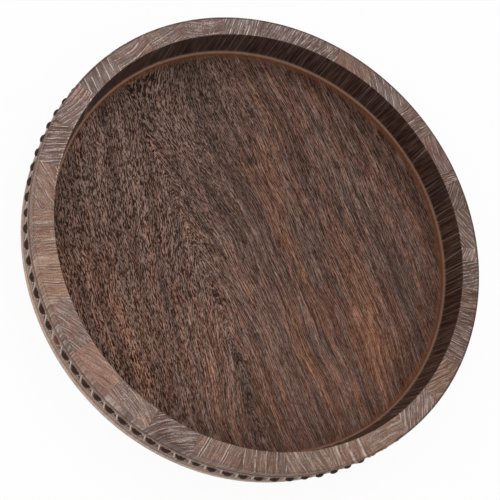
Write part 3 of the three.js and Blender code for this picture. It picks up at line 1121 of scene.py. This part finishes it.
def bead_shape():
    """One bead, its flat back sunk in the strip, at azimuth 0."""
    size = sizes()
    _, face = strip_radii()
    sunk = 0.6 * MM
    rise = size.wall_radius + size.bead_proud - face
    foot_lime = 0.45
    lime_fade = 3.0
    clear_selection()
    bpy.ops.mesh.primitive_uv_sphere_add(
        segments=18, ring_count=12, radius=1, rotation=(0, math.pi / 2, 0)
    )
    piece = bpy.context.active_object
    bpy.ops.object.transform_apply(rotation=True)
    piece.scale = (rise + sunk, size.bead_width / 2, size.bead_tall / 2)
    piece.location = (face - sunk, 0, bead_row_height())
    bpy.ops.object.transform_apply(location=True, scale=True)

    def lime_at(point):
        return max(0.0, foot_lime - lime_fade * (point.x - face) / rise)

    edit(piece)
    cut_off_back(face - sunk)
    done()
    mark(piece, lime=lime_at, crown=1.0)
    smooth(piece, degrees=50)
    return piece


def collar_shape():
    """The pale raised ring round a bead, at azimuth 0."""
    size = sizes()
    _, face = strip_radii()
    middle = (face, 0, bead_row_height())
    sunk = 0.1 * MM
    ring_radius = size.bead_width / 2 + size.collar * 0.7
    stretch = (1.6, 1.0, size.bead_tall / size.bead_width)
    lime_above, lime_below = 0.35, 0.9
    clear_selection()
    bpy.ops.mesh.primitive_torus_add(
        major_radius=ring_radius, minor_radius=size.collar, major_segments=24, minor_segments=6,
        rotation=(0, math.pi / 2, 0), location=middle,
    )
    piece = bpy.context.active_object
    bpy.ops.object.transform_apply(location=True, rotation=True)
    edit(piece)
    cut_off_back(face - sunk)
    bpy.ops.mesh.select_all(action="SELECT")
    bpy.ops.transform.resize(value=stretch, center_override=middle)
    done()
    mark(piece, lime=lambda point: lime_above if point.z > bead_row_height() else lime_below)
    smooth(piece, degrees=50)
    return piece


def rib_shape():
    """The slanting rib on the clockwise side of a bead at azimuth 0."""
    size = sizes()
    _, face = strip_radii()
    sunk = 0.6 * MM
    clearance = 0.4 * MM
    end_room = 0.874 * MM
    edge_round = 0.35 * MM
    depth = size.wall_radius - face + sunk
    height = size.groove_height - 2 * end_room
    middle = size.bead_width / 2 + clearance + size.rib_width / 2
    clear_selection()
    bpy.ops.mesh.primitive_cube_add(size=1)
    piece = bpy.context.active_object
    piece.scale = (depth, size.rib_width, height)
    bpy.ops.object.transform_apply(scale=True)
    edit(piece)
    bpy.ops.mesh.select_all(action="SELECT")
    bpy.ops.mesh.subdivide(number_cuts=1)
    choose("edges", lambda edge: all(near(v.co.x, depth / 2, 0.1 * MM) for v in edge.verts))
    bpy.ops.mesh.bevel(offset=edge_round, segments=2, affect="EDGES")
    done()
    piece.rotation_euler.x = size.rib_slant
    piece.location = (size.wall_radius - depth / 2, -middle, bead_row_height())
    make_active(piece)
    bpy.ops.object.transform_apply(location=True, rotation=True)
    mark(piece, lime=1.0)
    smooth(piece, degrees=40)
    return piece


def backing_shape(angle):
    """The curved strip that carries the beads, from azimuth 0."""
    size = sizes()
    back, face = strip_radii()
    play = 0.05 * MM
    edge_round = 0.3 * MM
    low = bead_row_height() - size.groove_height / 2 + play
    high = bead_row_height() + size.groove_height / 2 - play
    piece = flat_section((back, low), (face, high))
    edit(piece)
    round_corner((face, high), edge_round)
    round_corner((face, low), edge_round)
    sweep(STRIP_STEP, angle)
    done()
    mark(piece, lime=0.58, open_wood=1.0)
    smooth(piece)
    return piece


def bead_lay(rng, index):
    """Matrix by which one bead differs from the others: its width, height, tilt and wear."""
    _, face = strip_radii()
    middle = Vector((face, 0, bead_row_height()))
    width = rng.uniform(*BEAD_SWELL)
    height = rng.uniform(*BEAD_STRETCH)
    tilt = rng.uniform(*BEAD_TILT)
    left = WORN_BEADS.get(index, 1.0)
    shape = Matrix.Diagonal((left, width * math.sqrt(left), height * math.sqrt(left), 1.0))
    lay = Matrix.Rotation(tilt, 4, "X") @ shape
    return Matrix.Translation(middle) @ lay @ Matrix.Translation(-middle)


def join(parts):
    """Joins the parts into the first one."""
    clear_selection()
    for part in parts:
        part.select_set(True)
    bpy.context.view_layer.objects.active = parts[0]
    bpy.ops.object.join()


class TRAY_OT_beading(bpy.types.Operator):
    """Make the bead strips that lie in the groove round the wall"""

    bl_idname = "tray.beading"
    bl_label = "Beading"

    def execute(self, context):
        size = sizes()
        rng = random.Random(BEAD_SEED)
        strip_angle = BEAD_PITCH * BEADS_PER_STRIP
        to_cut = 0.48 * BEAD_PITCH  # from a strip's first bead back to the strip's end
        gap = size.joint_gap / size.wall_radius
        material = beading_material()
        backing = backing_shape(strip_angle - gap)
        bead, collar, rib = bead_shape(), collar_shape(), rib_shape()
        for strip in range(STRIP_COUNT):
            number = two_digits(strip)
            start = size.bead_start - to_cut + strip * strip_angle
            parts = [turned_copy(backing, f"beading_{number}", start + gap / 2)]
            for index in range(strip * BEADS_PER_STRIP, (strip + 1) * BEADS_PER_STRIP):
                angle = size.bead_start + index * BEAD_PITCH
                placing = Matrix.Rotation(angle, 4, "Z") @ bead_lay(rng, index)
                parts.append(placed_copy(bead, "bead_part", placing))
                if index == RED_BEAD:
                    for item in parts[-1].data.attributes["rust"].data:
                        item.value = 1.0
                parts.append(placed_copy(collar, "collar_part", placing))
                parts.append(turned_copy(rib, "rib_part", angle))
            join(parts)
            seat(parts[0], material, "bead_wood", f"bead_strip_{number}")
        for spare in (backing, bead, collar, rib):
            remove(spare)
        return {"FINISHED"}


# Studio, in metres

GROUND_SIDE = 12.0
OVERHEAD_PLACE = (-0.5, 0.9, 2.2)
OVERHEAD_WIDTH = 1.6
FRONT_PLACE = (-1.2, -1.7, 0.8)
FRONT_WIDTH = 1.2


class StudioSettings(bpy.types.PropertyGroup):
    """Camera and light"""

    aim: FloatVectorProperty(
        name="Aim", description="Point that the camera looks at", default=(-0.0003, -0.0368, 0.0509), size=3,
        unit="LENGTH",
    )
    distance: length("Distance", "From the camera to its aim", 0.9925)
    azimuth: turn("Azimuth", "Where the camera stands, anticlockwise from +X", -89.80)
    elevation: turn("Elevation", "How high the camera stands", 61.41)
    roll: turn("Roll", "The camera is turned about its own axis", 49.42)
    lens: FloatProperty(name="Lens", description="Focal length, in mm", default=70.66, unit="CAMERA")
    overhead_lamp: watts("Overhead lamp", 12.0)
    front_lamp: watts("Front lamp", 7.2)
    sky: FloatProperty(
        name="Sky", description="Strength of the even white light", default=0.72, subtype="FACTOR"
    )
    floor_glow: FloatProperty(
        name="Floor glow", description="Share of the floor seen as pure white", default=0.93, subtype="FACTOR"
    )


def seen_share(w):
    """1 for camera, glossy and transmission rays, which see the white background."""
    path = w.add_node("ShaderNodeLightPath", {})
    seen = w.math("MAXIMUM", path.outputs["Is Camera Ray"], path.outputs["Is Glossy Ray"])
    return w.math("MAXIMUM", seen, path.outputs["Is Transmission Ray"])


def white_sky(strength):
    """White to the eye, and of the given strength as a light."""
    world = bpy.data.worlds.new("White studio")
    bpy.context.scene.world = world
    world.use_nodes = True
    w = Wires(world.node_tree)
    sky = w.tree.nodes["Background"]
    w.feed(sky.inputs["Color"], (1, 1, 1))
    w.feed(sky.inputs["Strength"], w.mul_add(seen_share(w), 1.0 - strength, strength))


def pale_floor_material(glow):
    """A matt floor that takes light and shadow, seen nearly as white as the background."""
    material = bpy.data.materials.new("Pale floor")
    material.use_nodes = True
    w = Wires(material.node_tree)
    w.tree.nodes.remove(w.tree.nodes["Principled BSDF"])
    matt = w.add_node("ShaderNodeBsdfDiffuse", {"Color": (0.9, 0.9, 0.9)})
    white = w.add_node("ShaderNodeEmission", {"Color": (1, 1, 1)})
    shares = {0: w.mul(seen_share(w), glow), 1: matt.outputs[0], 2: white.outputs[0]}
    mix = w.add_node("ShaderNodeMixShader", shares)
    w.tree.links.new(mix.outputs[0], w.tree.nodes["Material Output"].inputs["Surface"])
    return material


def soft_lamp(name, place, width, power):
    """A round lamp aimed at the frame's origin."""
    data = bpy.data.lights.new(name, "AREA")
    data.shape = "DISK"
    data.size = width
    data.energy = power
    lamp = bpy.data.objects.new(name, data)
    bpy.context.collection.objects.link(lamp)
    lamp.location = place
    lamp.rotation_euler = (-Vector(place)).to_track_quat("-Z", "Y").to_euler()


class TRAY_OT_studio(bpy.types.Operator):
    """Make the camera, the lamps and the pale floor"""

    bl_idname = "tray.studio"
    bl_label = "Studio"

    def execute(self, context):
        scene = context.scene
        studio = scene.tray_studio
        aim = Vector(studio.aim)
        flat = math.cos(studio.elevation)
        back_x = flat * math.cos(studio.azimuth)
        back_y = flat * math.sin(studio.azimuth)
        back = Vector((back_x, back_y, math.sin(studio.elevation)))
        data = bpy.data.cameras.new("Camera")
        data.lens = studio.lens
        camera = bpy.data.objects.new("Camera", data)
        bpy.context.collection.objects.link(camera)
        camera.location = aim + back * studio.distance
        camera.rotation_mode = "QUATERNION"
        turned = Quaternion((0, 0, 1), studio.roll)
        camera.rotation_quaternion = (-back).to_track_quat("-Z", "Y") @ turned
        scene.camera = camera
        clear_selection()
        bpy.ops.mesh.primitive_plane_add(size=GROUND_SIDE, location=(0, 0, 0))
        ground = context.active_object
        ground.name = "studio_floor"
        ground.data.materials.append(pale_floor_material(studio.floor_glow))
        white_sky(studio.sky)
        soft_lamp("Overhead lamp", OVERHEAD_PLACE, OVERHEAD_WIDTH, studio.overhead_lamp)
        soft_lamp("Front lamp", FRONT_PLACE, FRONT_WIDTH, studio.front_lamp)
        scene.view_settings.view_transform = "Standard"
        return {"FINISHED"}


class TRAY_PT_build(bpy.types.Panel):
    """Lists the tray's operators, sizes and colours"""

    bl_label = "Beaded tray"
    bl_idname = "TRAY_PT_build"
    bl_space_type = "VIEW_3D"
    bl_region_type = "UI"
    bl_category = "Tray"

    def draw(self, context):
        for operator in OPERATORS:
            self.layout.operator(operator.bl_idname)
        for settings in (context.scene.tray_sizes, context.scene.tray_colours, context.scene.tray_studio):
            for label in settings.bl_rna.properties.keys():
                if label not in ("rna_type", "name"):
                    self.layout.prop(settings, label)


OPERATORS = (TRAY_OT_studio, TRAY_OT_rim_blocks, TRAY_OT_floor_board, TRAY_OT_beading)
CLASSES = (TraySizes, TrayColours, StudioSettings, *OPERATORS, TRAY_PT_build)


def register():
    for item in CLASSES:
        bpy.utils.register_class(item)
    bpy.types.Scene.tray_sizes = PointerProperty(type=TraySizes)
    bpy.types.Scene.tray_colours = PointerProperty(type=TrayColours)
    bpy.types.Scene.tray_studio = PointerProperty(type=StudioSettings)


def unregister():
    del bpy.types.Scene.tray_studio
    del bpy.types.Scene.tray_colours
    del bpy.types.Scene.tray_sizes
    for item in reversed(CLASSES):
        bpy.utils.unregister_class(item)


def main():
    register()
    bpy.ops.tray.studio()
    bpy.ops.tray.rim_blocks()
    bpy.ops.tray.floor_board()
    bpy.ops.tray.beading()


if __name__ == "__main__":
    main()
